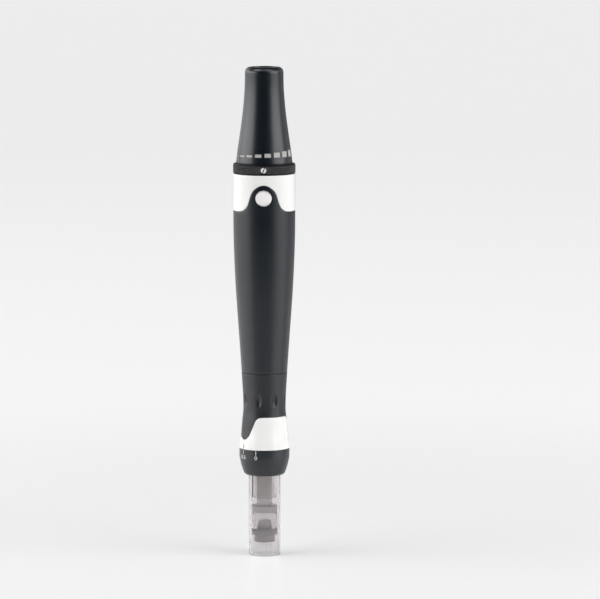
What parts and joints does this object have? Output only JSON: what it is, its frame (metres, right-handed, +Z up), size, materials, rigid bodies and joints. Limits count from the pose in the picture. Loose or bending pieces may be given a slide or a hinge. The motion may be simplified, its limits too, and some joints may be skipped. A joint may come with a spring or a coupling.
{
  "type": "microneedling pen",
  "caption": "Upright corded-type microneedling pen with a knurled speed ring, a power button, a depth dial and a fitted clear needle cartridge on which it stands.",
  "frame": {"origin": "centre of the cartridge's foot, on the surface that the pen stands on", "axes": "+Z up along the pen from the cartridge to the tail, -Y out of the power button"},
  "size_m": [0.022, 0.022, 0.174],
  "materials": {
    "black_shell": "satin",
    "grip_black": "soft satin",
    "white_collar": "gloss",
    "ring_black": "knurled, satin",
    "button_silver": "fine satin",
    "steel": "machined",
    "aluminium": "machined",
    "brass": "machined",
    "bronze": "sintered",
    "clear_cartridge": "clear gloss",
    "smoke_cartridge": "smoky gloss",
    "rubber": "matt",
    "circuit_board": "solder mask",
    "dark_plastic": "moulded",
    "pale_plastic": "moulded",
    "copper": "bare copper",
    "magnet": "sintered",
    "red_lead": "insulation",
    "black_lead": "insulation"
  },
  "bodies": {
    "handle": {"tail_cap": "black_shell", "dc_jack": "dark_plastic", "dc_jack_pin": "brass", "jack_holder": "aluminium", "tail_bulkhead": "aluminium", "cap_carrier": "aluminium", "speed_track": "circuit_board", "upper_collar": "white_collar", "barrel": "black_shell", "tact_switch": "steel", "button_guide": "dark_plastic", "main_board": "circuit_board", "driver_chip": "dark_plastic", "lead_connector": "pale_plastic", "filter_capacitor": "dark_plastic", "chassis": "dark_plastic", "supply_lead_red": "red_lead", "supply_lead_black": "black_lead", "motor_lead_red": "red_lead", "motor_lead_black": "black_lead", "motor_can": "steel", "motor_bearing": "bronze", "motor_magnet": "magnet", "motor_end_cap": "dark_plastic", "motor_cradle": "dark_plastic", "drive_frame": "aluminium", "socket_key": "steel", "follower_key": "steel", "rod_bush": "bronze", "return_spring": "steel", "lower_collar": "white_collar", "grip_shell": "grip_black", "dial_snap_ring": "steel", "dial_friction_ring": "rubber"},
    "speed_ring": {"speed_ring": "ring_black", "ring_set_screw": "steel", "ring_hub": "brass", "speed_wiper": "copper"},
    "power_button": {"power_button": "button_silver", "switch_plunger": "dark_plastic"},
    "depth_dial": {"depth_dial": "black_shell"},
    "cartridge_socket": {"cartridge_socket": "steel", "retaining_ring": "rubber", "depth_pin": "steel", "cartridge_key": "steel"},
    "cartridge": {"cartridge_tube": "clear_cartridge", "cartridge_core": "smoke_cartridge", "cartridge_spring": "steel"},
    "rotor": {"motor_shaft": "steel", "armature": "copper", "face_cam": "steel", "cam_set_screw": "steel"},
    "drive_rod": {"drive_rod": "steel", "cam_follower": "bronze"},
    "needle_carriage": {"plunger": "smoke_cartridge", "carriage_disc": "smoke_cartridge", "needle_cup": "clear_cartridge", "wiper_ring": "rubber", "needle_block": "smoke_cartridge"}
  },
  "joints": [
    {"name": "speed_turn", "type": "hinge", "parent": "handle", "child": "speed_ring", "pos_m": [0, 0, 0.13815], "axis": [0, 0, 1], "range_deg": [-83, 157]},
    {"name": "button_press", "type": "slide", "parent": "handle", "child": "power_button", "axis": [0, 1, 0], "range_m": [0, 0.0005], "stiffness_N_per_m": 1000, "springref_m": -0.0005},
    {"name": "dial_turn", "type": "hinge", "parent": "handle", "child": "depth_dial", "pos_m": [0, 0, 0.0337], "axis": [0, 0, 1], "range_deg": [-37, 148]},
    {"name": "socket_lift", "type": "slide", "parent": "handle", "child": "cartridge_socket", "axis": [0, 0, 1], "range_m": [-0.0005, 0.002]},
    {"name": "cartridge_pull", "type": "slide", "parent": "cartridge_socket", "child": "cartridge", "axis": [0, 0, -1], "range_m": [0, 0.03]},
    {"name": "motor_turn", "type": "hinge", "parent": "handle", "child": "rotor", "pos_m": [0, 0, 0.09], "axis": [0, 0, 1], "range_deg": [0, 180]},
    {"name": "rod_stroke", "type": "slide", "parent": "handle", "child": "drive_rod", "axis": [0, 0, -1], "range_m": [0, 0.0025], "stiffness_N_per_m": 100, "springref_m": -0.005, "deforming": ["return_spring", "cartridge_spring"]},
    {"name": "needle_follow", "type": "slide", "parent": "drive_rod", "child": "needle_carriage", "axis": [0, 0, -1], "range_m": [0, 0.03]}
  ],
  "couplings": [
    {"joint": "dial_turn", "follows": "socket_lift", "rad_per_m": 1291.5},
    {"joint": "motor_turn", "follows": "rod_stroke", "rad_per_m": 1256.6},
    {"joint": "needle_follow", "follows": "cartridge_pull", "ratio": 1}
  ]
}
